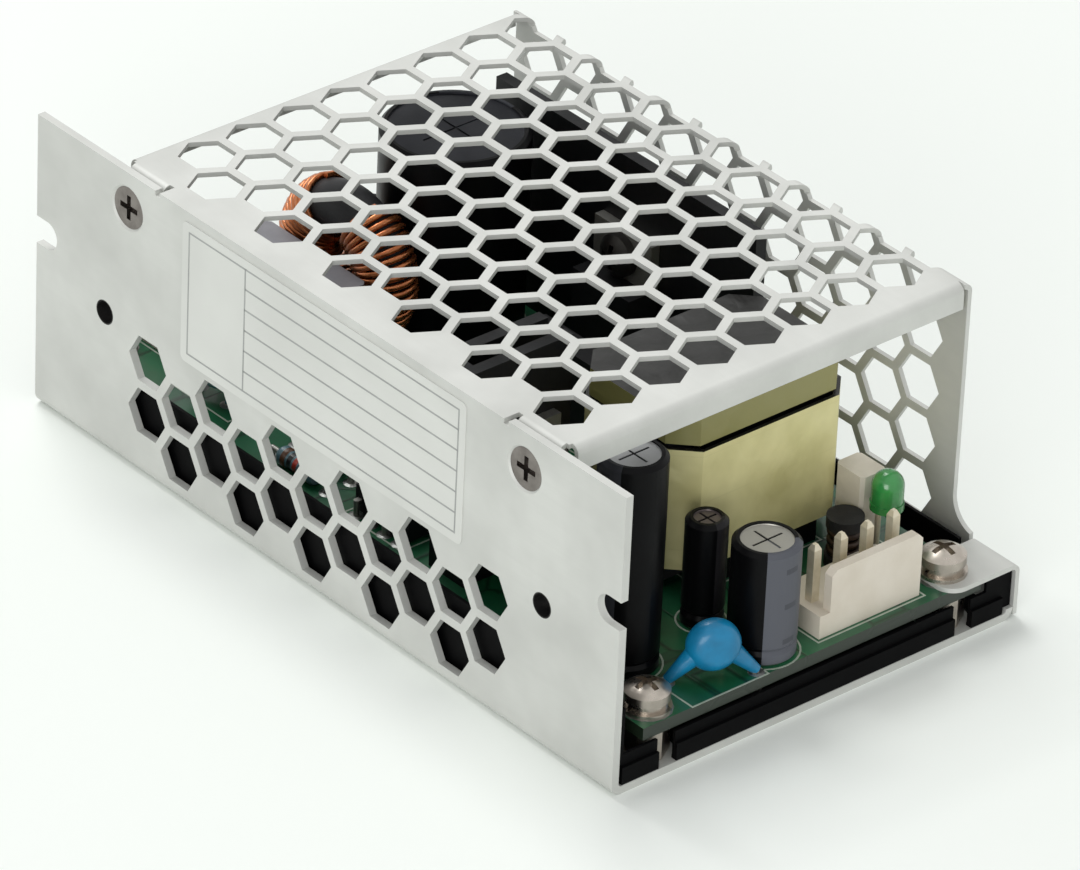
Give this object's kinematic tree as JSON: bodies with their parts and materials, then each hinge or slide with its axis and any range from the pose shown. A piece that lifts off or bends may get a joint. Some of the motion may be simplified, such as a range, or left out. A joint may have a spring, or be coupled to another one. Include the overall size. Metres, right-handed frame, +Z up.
{
  "type": "enclosed switching power supply",
  "caption": "Enclosed switching power supply: populated circuit board in a honeycomb-vented sheet metal case, open at both ends, with output header, input header and green indicator.",
  "frame": {"origin": "middle of the case's underside", "axes": "+X out of the output end, -Y out of the label wall, +Z up"},
  "size_m": [0.1034, 0.061, 0.039],
  "materials": {
    "chassis_sheet": "matt zinc-plated sheet",
    "cover_sheet": "matt zinc-plated sheet",
    "black_film": "smooth black polyester film",
    "board_laminate": "green solder mask",
    "plated_steel": "nickel plate",
    "ivory_nylon": "moulded nylon",
    "tinned_brass": "tin plate",
    "green_lens": "diffused tinted epoxy",
    "ferrite": "sintered ferrite",
    "black_plastic": "moulded black plastic",
    "yellow_tape": "polyester tape",
    "capacitor_sleeve": "shrink sleeve on an aluminium can",
    "blue_coating": "epoxy coating",
    "teal_coating": "epoxy coating",
    "beige_case": "moulded case",
    "grey_case": "moulded case",
    "copper_wire": "enamelled copper",
    "black_anodised": "black anodised plate",
    "resistor_coating": "lacquer"
  },
  "bodies": {
    "root": {"chassis": "chassis_sheet", "cover": "cover_sheet", "insulation_film": "black_film", "circuit_board": "board_laminate", "board_standoffs": "plated_steel", "board_screws": "plated_steel", "cover_screws": "plated_steel", "output_header_housing": "ivory_nylon", "output_header_pins": "tinned_brass", "input_header_housing": "ivory_nylon", "input_header_pins": "tinned_brass", "indicator_lens": "green_lens", "indicator_leads": "tinned_brass", "transformer_core": "ferrite", "transformer_bobbin": "black_plastic", "transformer_winding": "yellow_tape", "transformer_tape": "yellow_tape", "bulk_capacitor": "capacitor_sleeve", "tall_output_capacitor": "capacitor_sleeve", "striped_output_capacitor": "capacitor_sleeve", "small_output_capacitor": "capacitor_sleeve", "rear_output_capacitor": "capacitor_sleeve", "supply_capacitor": "capacitor_sleeve", "safety_disc_capacitor": "blue_coating", "film_capacitor": "beige_case", "line_filter_capacitor": "grey_case", "line_choke_core": "ferrite", "line_choke_winding": "copper_wire", "line_choke_base": "black_plastic", "output_choke_core": "ferrite", "output_choke_winding": "copper_wire", "line_fuse": "black_plastic", "surge_varistor": "teal_coating", "inrush_thermistor": "black_plastic", "bridge_rectifier": "black_plastic", "primary_heatsink": "black_anodised", "primary_transistor": "black_plastic", "output_heatsink": "black_anodised", "output_rectifier": "black_plastic", "heatsink_screws": "plated_steel", "control_chip": "black_plastic", "optocoupler": "black_plastic", "axial_resistors": "resistor_coating"}
  },
  "joints": []
}
